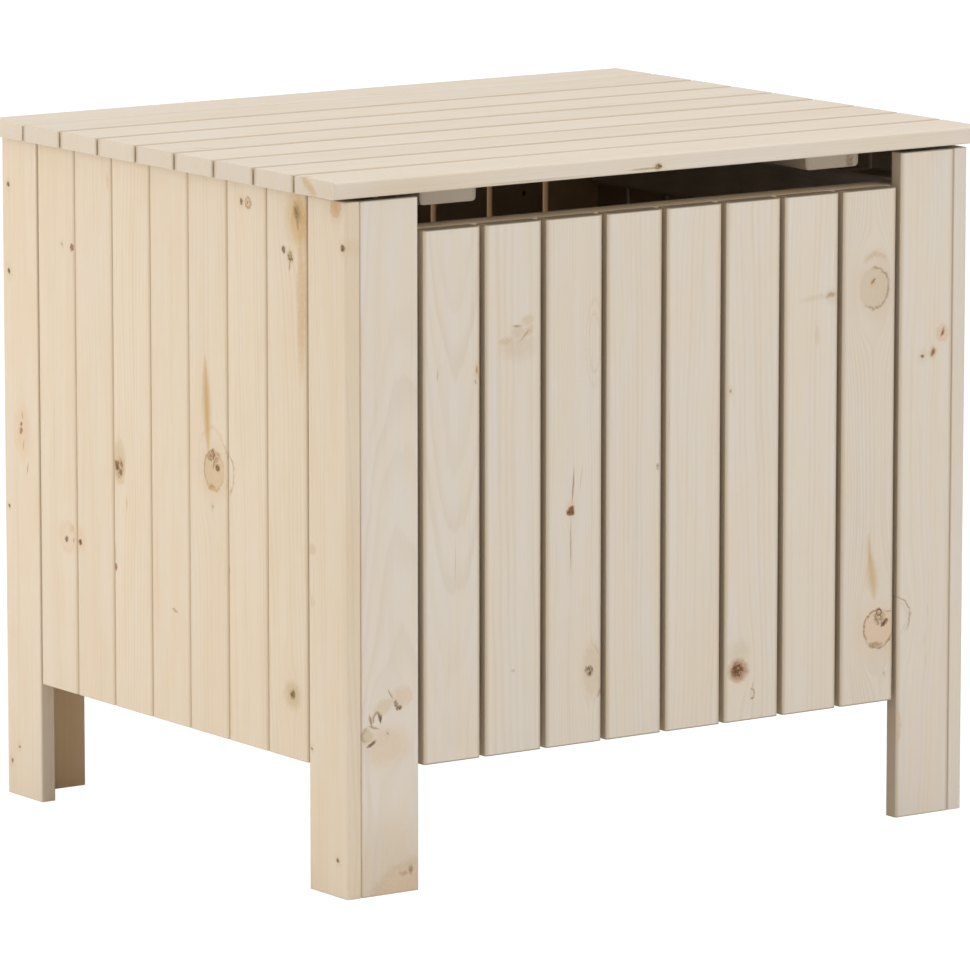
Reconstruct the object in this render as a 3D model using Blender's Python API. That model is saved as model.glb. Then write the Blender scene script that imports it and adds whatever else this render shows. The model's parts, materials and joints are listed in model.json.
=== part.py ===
"""A slatted pine toy box with a hinged lid, standing on four L-shaped corner legs.

Every wall is a row of upright boards cut from one stock, nailed to rails inside the box. The first and
last board of each wall run on down to the floor, and two of them make each corner leg. The front wall
stops short of the lid and leaves a hand slot. The lid is a row of boards on two cleats, hung from the
back wall on two narrow butt hinges. The floor panel rests on two rails. The frame's origin is on the
floor, under the centre of the whole box. +X is the right-hand side seen from the front, +Y the back.
"""

import math

import bmesh
import bpy
from mathutils import Matrix, Vector

# Driving dimensions, metres.
BOARD_WIDTH = 0.0505
BOARD_THICKNESS = 0.0130
EDGE_ROUNDING = 0.0016
EDGE_SEGMENTS = 2
SEAT_GAP = 0.0003  # between pieces that touch

SIDE_BOARDS = 9
SIDE_BOARD_GAP = 0.0029
FRONT_BOARDS = 10
FRONT_BOARD_GAP = 0.0048
LID_BOARDS = 9
LID_BOARD_GAP = 0.0033
LID_WIDTH = 0.600

WALL_TOP = 0.5202
SLAT_TOP = 0.4918  # the front wall's slats, under the hand slot
SLAT_BOTTOM = 0.0935
SIDE_BOARD_BOTTOM = 0.0946

RAIL_DEPTH = 0.0250
TOP_RAIL_HEIGHT = 0.0450
BACK_RAIL_TOP = 0.5018  # higher than the other top rails, just under the lid's cleats
BOTTOM_RAIL_HEIGHT = 0.0250
BOTTOM_RAIL_BOTTOM = 0.0970
FLOOR_THICKNESS = 0.0150

CLEAT_CENTRES_X = {"left": -0.1820, "right": 0.1735}
CLEAT_SETBACK = 0.0220  # from the front and back faces of the walls

HINGE_CENTRE_X = 0.1930
HINGE_LENGTH = 0.0400
LEAF_THICKNESS = 0.0015
LEAF_KNUCKLE_CLEARANCE = 0.0035  # from the axis to the edge of the other leaf's plate
WALL_LEAF_HEIGHT = 0.0240
LID_LEAF_HEIGHT = 0.0125
KNUCKLES = 5
KNUCKLE_RADIUS = 0.0030
PIN_RADIUS = 0.00160
BORE_RADIUS = 0.00168
ROUND_SIDES = 32
SMOOTH_ANGLE = math.radians(35)

PINE_FRONT = (0.66, 0.58, 0.49)
PINE_SIDE = (0.72, 0.58, 0.41)
PINE_LID = (0.76, 0.69, 0.60)
PINE_INSIDE = (0.60, 0.50, 0.38)
STEEL = (0.62, 0.62, 0.60)
WOOD_ROUGHNESS = 0.62
STEEL_ROUGHNESS = 0.35

# Sizes that follow.
BODY_WIDTH = (
    FRONT_BOARDS * BOARD_WIDTH
    + (FRONT_BOARDS - 1) * FRONT_BOARD_GAP
    + 2 * (BOARD_THICKNESS + SEAT_GAP)
)
BODY_DEPTH = SIDE_BOARDS * BOARD_WIDTH + (SIDE_BOARDS - 1) * SIDE_BOARD_GAP
LID_DEPTH = LID_BOARDS * BOARD_WIDTH + (LID_BOARDS - 1) * LID_BOARD_GAP
LEFT = -BODY_WIDTH / 2
RIGHT = BODY_WIDTH / 2
HINGE_BULK = SEAT_GAP + 2 * KNUCKLE_RADIUS
BACK = (LID_DEPTH - HINGE_BULK) / 2
FRONT = BACK - BODY_DEPTH
WALL = BOARD_THICKNESS + SEAT_GAP  # from a wall's outer face to what lies against its inner face
RAIL = WALL + RAIL_DEPTH + SEAT_GAP
LID_BOTTOM = WALL_TOP + SEAT_GAP
FLOOR_BOTTOM = BOTTOM_RAIL_BOTTOM + BOTTOM_RAIL_HEIGHT + SEAT_GAP
HINGE_AXIS = Vector((0.0, BACK + SEAT_GAP + KNUCKLE_RADIUS, (WALL_TOP + LID_BOTTOM) / 2))


def clear_scene():
    for thing in list(bpy.data.objects):
        bpy.data.objects.remove(thing, do_unlink=True)


def surface(name, colour, roughness, metallic):
    material = bpy.data.materials.new(name)
    material.use_nodes = True
    shader = material.node_tree.nodes["Principled BSDF"]
    shader.inputs["Base Color"].default_value = (*colour, 1.0)
    shader.inputs["Roughness"].default_value = roughness
    shader.inputs["Metallic"].default_value = metallic
    return material


def pine(name, colour):
    return surface(name, colour, WOOD_ROUGHNESS, 0.0)


def place(name, mesh, centre, material, pivot):
    """Add an object at centre, in world coordinates, carried by pivot where it has one."""
    mesh.materials.append(material)
    thing = bpy.data.objects.new(name, mesh)
    bpy.context.scene.collection.objects.link(thing)
    thing.location = centre
    if pivot:
        thing.parent = pivot
        thing.location = centre - pivot.location
    return thing


def block_mesh(name, low, high):
    """A box from corner low to corner high, as a mesh centred on its own origin, and its centre."""
    low = Vector(low)
    high = Vector(high)
    body = bmesh.new()
    bmesh.ops.create_cube(body, size=1.0, matrix=Matrix.Diagonal((*(high - low), 1.0)))
    mesh = bpy.data.meshes.new(name)
    body.to_mesh(mesh)
    body.free()
    return mesh, (low + high) / 2


def board(name, low, high, colour, pivot=None):
    """A board with eased edges, from corner low to corner high."""
    mesh, centre = block_mesh(name, low, high)
    thing = place(name, mesh, centre, pine(name, colour), pivot)
    easing = thing.modifiers.new("eased edges", "BEVEL")
    easing.width = EDGE_ROUNDING
    easing.segments = EDGE_SEGMENTS
    return thing


def row_starts(start, count, gap):
    return [start + index * (BOARD_WIDTH + gap) for index in range(count)]


def side_wall(side, outer_x, inner_x):
    """A side wall: a leg board at each end and the shorter boards between them, front to back."""
    names = [f"{side}_board_{index}" for index in range(1, SIDE_BOARDS - 1)]
    names = [f"{side}_front_leg", *names, f"{side}_rear_leg"]
    low_x, high_x = sorted((outer_x, inner_x))
    for name, y in zip(names, row_starts(FRONT, SIDE_BOARDS, SIDE_BOARD_GAP)):
        bottom = 0.0 if name.endswith("leg") else SIDE_BOARD_BOTTOM
        board(name, (low_x, y, bottom), (high_x, y + BOARD_WIDTH, WALL_TOP), PINE_SIDE)


def cross_wall(side, low_y, slat_top):
    """The front or the back wall: slats between two leg boards, left to right."""
    names = [f"{side}_slat_{index}" for index in range(1, FRONT_BOARDS - 1)]
    names = [f"{side}_leg_left", *names, f"{side}_leg_right"]
    high_y = low_y + BOARD_THICKNESS
    for name, x in zip(names, row_starts(LEFT + WALL, FRONT_BOARDS, FRONT_BOARD_GAP)):
        is_leg = "_leg_" in name
        bottom = 0.0 if is_leg else SLAT_BOTTOM
        top = WALL_TOP if is_leg else slat_top
        board(name, (x, low_y, bottom), (x + BOARD_WIDTH, high_y, top), PINE_FRONT)


def rails():
    """Four rails near the top of the walls, and two that carry the floor panel."""
    top_low = SLAT_TOP - TOP_RAIL_HEIGHT
    front_in = FRONT + WALL
    back_in = BACK - WALL
    cross_rails = (("front_top_rail", front_in, SLAT_TOP), ("back_top_rail", back_in - RAIL_DEPTH, BACK_RAIL_TOP))
    for name, low_y, top in cross_rails:
        low = (LEFT + WALL, low_y, top - TOP_RAIL_HEIGHT)
        board(name, low, (RIGHT - WALL, low_y + RAIL_DEPTH, top), PINE_INSIDE)
    for side, low_x in (("left", LEFT + WALL), ("right", RIGHT - WALL - RAIL_DEPTH)):
        high_x = low_x + RAIL_DEPTH
        low = (low_x, FRONT + RAIL, top_low)
        board(f"{side}_top_rail", low, (high_x, BACK - RAIL, SLAT_TOP), PINE_INSIDE)
        low = (low_x, front_in, BOTTOM_RAIL_BOTTOM)
        high = (high_x, back_in, BOTTOM_RAIL_BOTTOM + BOTTOM_RAIL_HEIGHT)
        board(f"{side}_bottom_rail", low, high, PINE_INSIDE)


def floor_panel():
    low = (LEFT + WALL, FRONT + WALL, FLOOR_BOTTOM)
    high = (RIGHT - WALL, BACK - WALL, FLOOR_BOTTOM + FLOOR_THICKNESS)
    board("floor_panel", low, high, PINE_INSIDE)


def lid(pivot):
    """The lid's boards, front to back, and the two cleats that hold them together from below."""
    top = LID_BOTTOM + BOARD_THICKNESS
    starts = row_starts(BACK - LID_DEPTH, LID_BOARDS, LID_BOARD_GAP)
    for index, y in enumerate(starts, start=1):
        low = (-LID_WIDTH / 2, y, LID_BOTTOM)
        board(f"lid_board_{index}", low, (LID_WIDTH / 2, y + BOARD_WIDTH, top), PINE_LID, pivot)
    cleat_top = LID_BOTTOM - SEAT_GAP
    for side, x in CLEAT_CENTRES_X.items():
        low = (x - BOARD_WIDTH / 2, FRONT + CLEAT_SETBACK, cleat_top - BOARD_THICKNESS)
        high = (x + BOARD_WIDTH / 2, BACK - CLEAT_SETBACK, cleat_top)
        board(f"lid_cleat_{side}", low, high, PINE_LID, pivot)


def box_between(low, high):
    """A plain box as a helper object, for a Boolean."""
    mesh, centre = block_mesh("helper", low, high)
    helper = bpy.data.objects.new("helper", mesh)
    helper.location = centre
    return helper


def rod_along_x(radius, low_x, high_x):
    """A round rod on the hinge's own axis, from low_x to high_x, as a helper object."""
    body = bmesh.new()
    turned = Matrix.Rotation(math.pi / 2, 4, "Y")
    bmesh.ops.create_cone(
        body,
        cap_ends=True,
        segments=ROUND_SIDES,
        radius1=radius,
        radius2=radius,
        depth=high_x - low_x,
        matrix=Matrix.Translation(((low_x + high_x) / 2, 0.0, 0.0)) @ turned,
    )
    mesh = bpy.data.meshes.new("helper")
    body.to_mesh(mesh)
    body.free()
    return bpy.data.objects.new("helper", mesh)


def combined(first, added, cut):
    """The mesh of first with each object of added joined to it, then each object of cut taken away."""
    helpers = [first, *added, *cut]
    for helper in helpers:
        bpy.context.scene.collection.objects.link(helper)
    for operation, others in (("UNION", added), ("DIFFERENCE", cut)):
        for other in others:
            step = first.modifiers.new(operation, "BOOLEAN")
            step.operation = operation
            step.object = other
    graph = bpy.context.evaluated_depsgraph_get()
    mesh = bpy.data.meshes.new_from_object(first.evaluated_get(graph))
    mesh.transform(first.matrix_world)
    for helper in helpers:
        bpy.data.objects.remove(helper, do_unlink=True)
    return mesh


def hinge_leaf(name, centre_x, own_knuckles, reach, height, with_pin, pivot):
    """One leaf of a butt hinge, with its knuckles. reach is -1 for a leaf below the axis, 1 for one above."""
    near = reach * LEAF_KNUCKLE_CLEARANCE
    far = reach * height
    inner = -KNUCKLE_RADIUS
    outer = inner + LEAF_THICKNESS
    half = HINGE_LENGTH / 2
    pitch = HINGE_LENGTH / KNUCKLES
    plate = box_between((-half, inner, min(near, far)), (half, outer, max(near, far)))
    added = []
    for index in own_knuckles:
        low_x = -half + index * pitch + (SEAT_GAP / 2 if index else 0.0)
        high_x = -half + (index + 1) * pitch - (SEAT_GAP / 2 if index < KNUCKLES - 1 else 0.0)
        overlap = near + reach * LEAF_THICKNESS
        added.append(box_between((low_x, inner, min(0.0, overlap)), (high_x, outer, max(0.0, overlap))))
        added.append(rod_along_x(KNUCKLE_RADIUS, low_x, high_x))
    cut = []
    if with_pin:
        added.append(rod_along_x(PIN_RADIUS, -half + SEAT_GAP, half - SEAT_GAP))
    else:
        cut.append(rod_along_x(BORE_RADIUS, -HINGE_LENGTH, HINGE_LENGTH))
    mesh = combined(plate, added, cut)
    mesh.name = name
    mesh.shade_smooth()
    mesh.set_sharp_from_angle(angle=SMOOTH_ANGLE)
    centre = HINGE_AXIS + Vector((centre_x, 0.0, 0.0))
    place(name, mesh, centre, surface(name, STEEL, STEEL_ROUGHNESS, 1.0), pivot)


def hinges(pivot):
    """Two butt hinges: the wall's leaves hold the pin, and the lid's leaves turn on it."""
    for side, x in (("left", -HINGE_CENTRE_X), ("right", HINGE_CENTRE_X)):
        outer = range(0, KNUCKLES, 2)
        inner = range(1, KNUCKLES, 2)
        hinge_leaf(f"hinge_{side}_wall_leaf", x, outer, -1, WALL_LEAF_HEIGHT, True, None)
        hinge_leaf(f"hinge_{side}_lid_leaf", x, inner, 1, LID_LEAF_HEIGHT, False, pivot)


def lid_pivot():
    """The empty on the hinges' axis that carries everything that lifts with the lid."""
    pivot = bpy.data.objects.new("lid_pivot", None)
    bpy.context.scene.collection.objects.link(pivot)
    pivot.location = HINGE_AXIS
    return pivot


def main():
    clear_scene()
    side_wall("left", LEFT, LEFT + BOARD_THICKNESS)
    side_wall("right", RIGHT, RIGHT - BOARD_THICKNESS)
    cross_wall("front", FRONT, SLAT_TOP)
    cross_wall("back", BACK - BOARD_THICKNESS, WALL_TOP)
    rails()
    floor_panel()
    pivot = lid_pivot()
    lid(pivot)
    hinges(pivot)


main()
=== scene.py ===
"""The looks of a slatted pine toy box: boards in knotty pine, steel hinges, and screw and nail heads."""

import json
import math
import random

import bmesh
import bpy
from mathutils import Matrix, Vector


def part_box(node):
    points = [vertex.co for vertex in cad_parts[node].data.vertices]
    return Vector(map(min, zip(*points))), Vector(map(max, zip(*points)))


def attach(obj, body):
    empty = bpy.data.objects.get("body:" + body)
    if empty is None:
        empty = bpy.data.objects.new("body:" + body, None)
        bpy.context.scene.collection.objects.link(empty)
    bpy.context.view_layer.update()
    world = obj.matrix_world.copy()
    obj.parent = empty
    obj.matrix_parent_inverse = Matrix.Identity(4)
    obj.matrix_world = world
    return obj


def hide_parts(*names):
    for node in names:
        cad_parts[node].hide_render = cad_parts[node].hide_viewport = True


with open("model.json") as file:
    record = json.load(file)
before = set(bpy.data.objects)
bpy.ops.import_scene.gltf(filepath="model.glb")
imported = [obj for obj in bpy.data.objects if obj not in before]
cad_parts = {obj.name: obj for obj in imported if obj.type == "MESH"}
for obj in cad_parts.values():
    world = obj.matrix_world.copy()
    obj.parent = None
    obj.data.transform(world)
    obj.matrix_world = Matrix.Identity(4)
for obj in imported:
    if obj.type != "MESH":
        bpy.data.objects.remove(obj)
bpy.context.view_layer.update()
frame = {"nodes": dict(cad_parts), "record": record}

MM = 0.001

# Board shape, millimetres.
EASING = {"pine_front": 2.6, "pine_side": 3.3, "pine_lid": 1.5, "pine_inside": 1.8}  # the long edges
CLEAT_EASING = 3.6
LEG_EASING = 1.8  # where the leg's edge is in full view
SHALLOW = 0.45  # depth of the long edges' easing, as a share of its width
END_EASING = 0.5  # the sawn ends
EASING_SPREAD = 0.25  # how much the easing differs from board to board
EASING_SEGMENTS = 4
FULLER = {"left": 1.25, "lid": 0.5}  # how much wider a wall's detailed boards are, at each long edge
LEG_FULLER = 0.35  # the same for the front legs, so that they close on the side walls
LEG_DROP = 2.6  # the gap between the lid and the front legs
DROPPED = ("front_leg_left", "front_leg_right", "left_front_leg", "right_front_leg")
BOARD_STATIONS = 10  # cuts along a board, which let it bow a little
BOW = 0.25  # the most that a board bows
BOW_ACROSS = 0.4  # shares of the bow across the board and through it
BOW_THROUGH = 0.3
THIN_BOARD = 0.02  # metres; a thicker piece doesn't bow through its thickness

# Pine: two tones that a board drifts between, for each material slot, linear.
TONES = {
    "pine_front": ((0.640, 0.575, 0.498), (0.646, 0.560, 0.452)),
    "pine_side": ((0.660, 0.552, 0.425), (0.650, 0.530, 0.385)),
    "pine_lid": ((0.650, 0.575, 0.490), (0.645, 0.560, 0.450)),
    "pine_inside": ((0.650, 0.550, 0.430), (0.630, 0.510, 0.375)),
}
BRIGHTNESS_SPREAD = 0.015  # from board to board
LATE = (0.480, 0.370, 0.240)  # the growth rings' darker lines
END_GRAIN = (0.480, 0.370, 0.245)
END_SHARE = 0.28  # how much of it a sawn end shows
SPECULAR = 0.2
PLANED_BUMP = (0.5, 0.0001)  # strength and depth in metres
WOOD_ROUGHNESS = (0.20, 0.48)  # what the fibre adds, and the least

# Growth rings.
FIGURE = 0.19  # how strongly they show
FIGURE_SPREAD = (0.6, 1.3)
RING_SPACING = (2.2, 4.6)  # mm
PITH_ACROSS = (25, 110)  # how far the middle of the log lies from the board's middle, mm
PITH_BEHIND = (20, 70)
LEAN_ACROSS = 0.02  # how much that changes along the board
LEAN_BEHIND = 0.03
LATE_RISE = (0.30, 0.88)  # where in a ring its darker line starts and ends
LATE_FALL = (1.0, 0.90)
YEAR_WAVES = 0.11  # good and bad years make darker and paler rings
YEAR_RANGE = (0.34, 0.68)
SLOW_WANDER = 12.0  # how far a ring strays, mm
FINE_WANDER = 1.8

# The wood's noises: waves per millimetre across and along the grain, detail and roughness.
SLOW = (0.010, 0.0040, 2.0, 0.5)
FINE = (0.10, 0.010, 2.0, 0.5)
HAIR = (1.3, 0.035, 3.0, 0.62)
BROAD = (0.22, 0.006, 2.0, 0.5)
PATCH = (0.060, 0.010, 3.0, 0.55)
PLANED = (1.1, 0.03, 1.0, 0.5)

# How much hairs and broad bands darken the wood, and between which values of their noise.
HAIR_SHARE, HAIR_RANGE = 0.10, (0.45, 0.85)
BROAD_SHARE, BROAD_RANGE = 0.16, (0.50, 0.85)
PATCH_RANGE = (0.34, 0.66)

# Where the tints of ends, edges and inner faces fade in, mm.
END_FADE = (1.3, 0.2)  # from the end
END_HIDES = 0.75  # how much of the growth rings a sawn end hides
GAP_FADE = 4.2  # from the long edge
GAP_SHARE = 0.6
INNER_FADE = (5.2, 6.2)  # from the middle of the board's thickness
INNER_SHARE = 0.5

# Painted shade and bounced light on the edges that face a gap, by wall: each gets the colour that the
# light bouncing about in the gap would give it, darker on most walls and a warm painted glow on the
# back.
GAP_TINTS = {
    "front": (0.400, 0.300, 0.180),
    "left": (0.560, 0.430, 0.280),
    "lid": (0.400, 0.300, 0.190),
    "back": (0.850, 0.600, 0.340),
}

# Painted shade: the faces that look into the box are browner, for the shade inside it. Those of the back
# legs get a warmer painted shade, for the light that the floor bounces up under the box.
INNER_SIDES = {"front": 1.0, "right": 1.0, "left": -1.0, "back": -1.0}  # which way is inwards on local Y
INNER_SHADE = (0.400, 0.265, 0.145)
INNER_LEG_WARM_SHADE = (0.840, 0.540, 0.260)
# Painted shade on the sawn tops of the front boards and legs, which lie under the lid: far darker than
# the end grain itself.
SLAT_END_SHADE = (0.190, 0.145, 0.095)  # the front boards' sawn tops, under the lid
SHADED_ENDS = {"front_slat": 0.95, "front_leg_": 0.6}  # how much of it shows

# Colours of the marks in the wood.
OCHRE = (0.540, 0.390, 0.210)
TAN = (0.520, 0.400, 0.270)
ROSE = (0.610, 0.410, 0.250)
OLIVE = (0.480, 0.375, 0.205)
RESIN = (0.500, 0.310, 0.130)
RIM = (0.300, 0.185, 0.088)
RUST = (0.260, 0.100, 0.050)
UMBER = (0.130, 0.062, 0.014)

# Steel.
STEEL_TONES = ((0.50, 0.50, 0.48), (0.66, 0.66, 0.64))
BRUSHED = (60.0, 1500.0)  # waves per metre along and across the brushing
DULL_PATCHES = 160.0
STEEL_ROUGHNESS = (0.25, 0.25)  # what the brushing adds, and the least
STEEL_BUMP = (0.3, 0.00004)
LEAF_EASING = 0.15  # mm

# Fasteners, millimetres. A head is its radius, its height and the width of its cross.
HEAD_SIDES = 24
HEAD_PROFILE = ((1.0, -0.3), (1.0, 0.35), (0.88, 0.85), (0.72, 1.0))  # shares of radius and height
CROSS_REACH = 0.6  # share of the radius
CROSS_FLOOR = 0.2  # share of the height
HINGE_SCREW = (2.9, 0.9, 0.8)
CLEAT_SCREW = (3.4, 1.0, 0.9)
NAIL = (3.0, 0.6, 0)
LEAF = 1.5  # thickness of a hinge leaf
LEAF_INSET = 0.2  # from a screw to the leaf's end, as a share of its length
WALL_SCREW_RISE = 9
LID_SCREW_DROP = 5
CLEAT_MARGIN = 5  # the least from a screw to the cleat's end
CLEAT_STAGGER = 9
NAIL_STAGGER = 8

# Camera and stage.
CAMERA_AT = (-3.396, -4.866, 1.248)
CAMERA_YAW = 34.943
CAMERA_PITCH = -9.553
CAMERA_LENS = 287.5
SENSOR = 36.0
GLOW = 0.50  # the studio's light from the horizon, and what is added above and to the left
GLOW_UP = 0.35
GLOW_LEFT = 0.27
WHITE = (1.0, 1.0, 1.0)
WHITE_SKY = 1.04  # how bright the camera sees the backdrop and the floor
WHITE_FLOOR = 1.12
WHITE_SHARE = 0.9
FLOOR_TONES = ((0.80, 0.80, 0.80), (0.82, 0.82, 0.82))
FLOOR_RADIUS = 30.0
FLOOR_SIDES = 96
LIT_POINT = Vector((0.0, 0.0, 0.3))
SOFTBOXES = {  # place, size and power
    "left_softbox": ((-1.70, 0.90, 0.75), 1.2, 11.0),
    "front_softbox": ((0.50, -3.70, 3.62), 2.2, 78.0),
    "top_softbox": ((0.0, 0.0, 5.3), 2.2, 66.0),
}


# ---------------------------------------------------------------- node trees


class Tree:
    """A node tree with short calls for the nodes in use. A value may be a number or a socket."""

    def __init__(self, tree):
        self.tree = tree

    def node(self, kind, inputs=None, **settings):
        made = self.tree.nodes.new(kind)
        for name, value in settings.items():
            setattr(made, name, value)
        for key, value in (inputs or {}).items():
            self.feed(made.inputs[key], value)
        return made

    def feed(self, socket, value):
        if isinstance(value, bpy.types.NodeSocket):
            self.tree.links.new(value, socket)
        elif value is not None:
            socket.default_value = (*value, 1.0) if socket.type == "RGBA" and len(value) == 3 else value

    def math(self, operation, a, b=None, c=None, clamp=False):
        made = self.tree.nodes.new("ShaderNodeMath")
        made.operation = operation
        made.use_clamp = clamp
        for socket, value in zip(made.inputs, (a, b, c)):
            self.feed(socket, value)
        return made.outputs[0]

    def add(self, a, b):
        return self.math("ADD", a, b)

    def sub(self, a, b):
        return self.math("SUBTRACT", a, b)

    def mul(self, a, b):
        return self.math("MULTIPLY", a, b)

    def div(self, a, b):
        return self.math("DIVIDE", a, b)

    def length(self, a, b):
        return self.math("SQRT", self.add(self.mul(a, a), self.mul(b, b)))

    def bell(self, value, width):
        """1 where value is 0, falling smoothly to 0 over about width."""
        scaled = self.div(value, width)
        return self.math("EXPONENT", self.mul(self.mul(scaled, scaled), -1.0))

    def step(self, value, low, high):
        """0 below low and 1 above high, smooth between; low may be the larger one."""
        made = self.node("ShaderNodeMapRange", interpolation_type="SMOOTHSTEP")
        for name, given in (("Value", value), ("From Min", low), ("From Max", high)):
            self.feed(made.inputs[name], given)
        return made.outputs["Result"]

    def combine(self, x, y, z):
        return self.node("ShaderNodeCombineXYZ", {"X": x, "Y": y, "Z": z}).outputs[0]

    def separate(self, vector):
        return self.node("ShaderNodeSeparateXYZ", {"Vector": vector}).outputs

    def noise(self, vector, scale, detail=2.0, roughness=0.5, output="Fac"):
        inputs = {"Vector": vector, "Scale": scale, "Detail": detail, "Roughness": roughness}
        return self.node("ShaderNodeTexNoise", inputs).outputs[output]

    def blend(self, factor, a, b):
        made = self.tree.nodes.new("ShaderNodeMix")
        made.data_type = "RGBA"
        for socket, value in ((made.inputs[0], factor), (made.inputs[6], a), (made.inputs[7], b)):
            self.feed(socket, value)
        return made.outputs[2]

    def drawn_out(self, x, y, z, kind):
        """Noise drawn out along the grain: kind is waves across and along, detail and roughness."""
        across, along, detail, roughness = kind
        place = self.combine(self.mul(x, across), y, self.mul(z, along))
        return self.noise(place, 1.0, detail, roughness)

    def group(self, tree, inputs):
        made = self.tree.nodes.new("ShaderNodeGroup")
        made.node_tree = tree
        for name, value in inputs.items():
            self.feed(made.inputs[name], value)
        return made


def new_group(name, inputs, outputs):
    """An empty node group with these sockets, as (tree helper, input sockets, output sockets)."""
    kinds = {"float": "NodeSocketFloat", "vector": "NodeSocketVector", "color": "NodeSocketColor"}
    tree = bpy.data.node_groups.new(name, "ShaderNodeTree")
    for direction, sockets in (("INPUT", inputs), ("OUTPUT", outputs)):
        for socket, kind in sockets.items():
            tree.interface.new_socket(socket, in_out=direction, socket_type=kinds[kind])
    start = tree.nodes.new("NodeGroupInput")
    end = tree.nodes.new("NodeGroupOutput")
    return Tree(tree), start.outputs, end.inputs


def sockets(names, kind="float"):
    return dict.fromkeys(names.split(), kind)


FLOW_STRETCH = 2.4  # how much longer than wide the pushed grain's outline is
LEAST_GRIT = 0.22
GRIT_RANGE = (0.62, 0.40)
BROKEN_RANGE = (0.25, 0.55)
BROKEN_LEAST = 0.3  # how much of a ring's strength is left where it is broken
ARC_FADE = 0.25
TAPER_LEAST = 0.05


def flow_group():
    """How far the grain is pushed sideways round a knot, as a stream is pushed round a post."""
    t, given, out = new_group("grain flow", sockets("X Z AtX AtZ Radius"), {"Shift": "float"})
    dx = t.sub(given["X"], given["AtX"])
    dz = t.div(t.sub(given["Z"], given["AtZ"]), FLOW_STRETCH)
    reach = t.div(t.length(dx, dz), given["Radius"])
    t.feed(out["Shift"], t.div(dx, t.math("MAXIMUM", t.mul(reach, reach), 1.0)))
    return t.tree


PLACE_SOCKETS = sockets("X Y Z AtX AtY AtZ HalfX HalfY HalfZ Cos Sin Strength")
MARK_SOCKETS = {"Color": "color", **PLACE_SOCKETS, "Tint": "color"}


def mark_reach(t, given):
    """Distance from a mark's middle, as a share of its half size along that direction, and its parts."""
    dx = t.sub(given["X"], given["AtX"])
    dz = t.sub(given["Z"], given["AtZ"])
    along = t.div(t.add(t.mul(dx, given["Cos"]), t.mul(dz, given["Sin"])), given["HalfX"])
    across = t.div(t.sub(t.mul(dz, given["Cos"]), t.mul(dx, given["Sin"])), given["HalfZ"])
    along = t.length(along, t.div(t.sub(given["Y"], given["AtY"]), given["HalfY"]))
    return t.length(along, across), along, across


def spot_group():
    """A filled mark: a stain, a plug or a core. Soft is how wide its edge is, Grit how broken it is."""
    inputs = {**MARK_SOCKETS, **sockets("Soft Grit Mottle")}
    t, given, out = new_group("spot", inputs, {"Color": "color"})
    reach, _, _ = mark_reach(t, given)
    mask = t.step(reach, t.add(1.0, given["Soft"]), t.sub(1.0, given["Soft"]))
    grit = t.math("MAXIMUM", given["Grit"], LEAST_GRIT)
    worn = t.sub(1.0, t.mul(grit, t.step(given["Mottle"], *GRIT_RANGE)))
    mask = t.mul(t.mul(mask, worn), given["Strength"])
    t.feed(out["Color"], t.blend(mask, given["Color"], given["Tint"]))
    return t.tree


def ring_group():
    """A ring, or the arc of one that faces (ArcX, ArcZ), broken where Mottle is low."""
    inputs = {**MARK_SOCKETS, **sockets("Line ArcX ArcZ Open Mottle")}
    t, given, out = new_group("ring", inputs, {"Color": "color"})
    reach, _, across = mark_reach(t, given)
    away = t.mul(t.sub(reach, 1.0), t.math("MINIMUM", given["HalfX"], given["HalfZ"]))
    mask = t.bell(away, given["Line"])
    side = t.div(t.sub(given["X"], given["AtX"]), given["HalfX"])
    facing = t.add(t.mul(side, given["ArcX"]), t.mul(across, given["ArcZ"]))
    facing = t.div(facing, t.math("MAXIMUM", reach, 0.01))
    opened = t.step(facing, t.sub(given["Open"], ARC_FADE), t.add(given["Open"], ARC_FADE))
    mask = t.mul(mask, opened)
    unbroken = t.step(given["Mottle"], *BROKEN_RANGE)
    whole = t.math("MULTIPLY_ADD", unbroken, 1.0 - BROKEN_LEAST, BROKEN_LEAST)
    mask = t.mul(t.mul(mask, whole), given["Strength"])
    t.feed(out["Color"], t.blend(mask, given["Color"], given["Tint"]))
    return t.tree


def streak_group():
    """A streak that tapers to both ends: resin along the grain, or a fine crack when it is narrow."""
    t, given, out = new_group("streak", MARK_SOCKETS, {"Color": "color"})
    _, along, across = mark_reach(t, given)
    taper = t.math("MAXIMUM", t.sub(1.0, t.mul(across, across)), 0.0)
    mask = t.mul(t.bell(along, t.add(taper, TAPER_LEAST)), t.math("SQRT", taper))
    t.feed(out["Color"], t.blend(t.mul(mask, given["Strength"]), given["Color"], given["Tint"]))
    return t.tree


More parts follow.
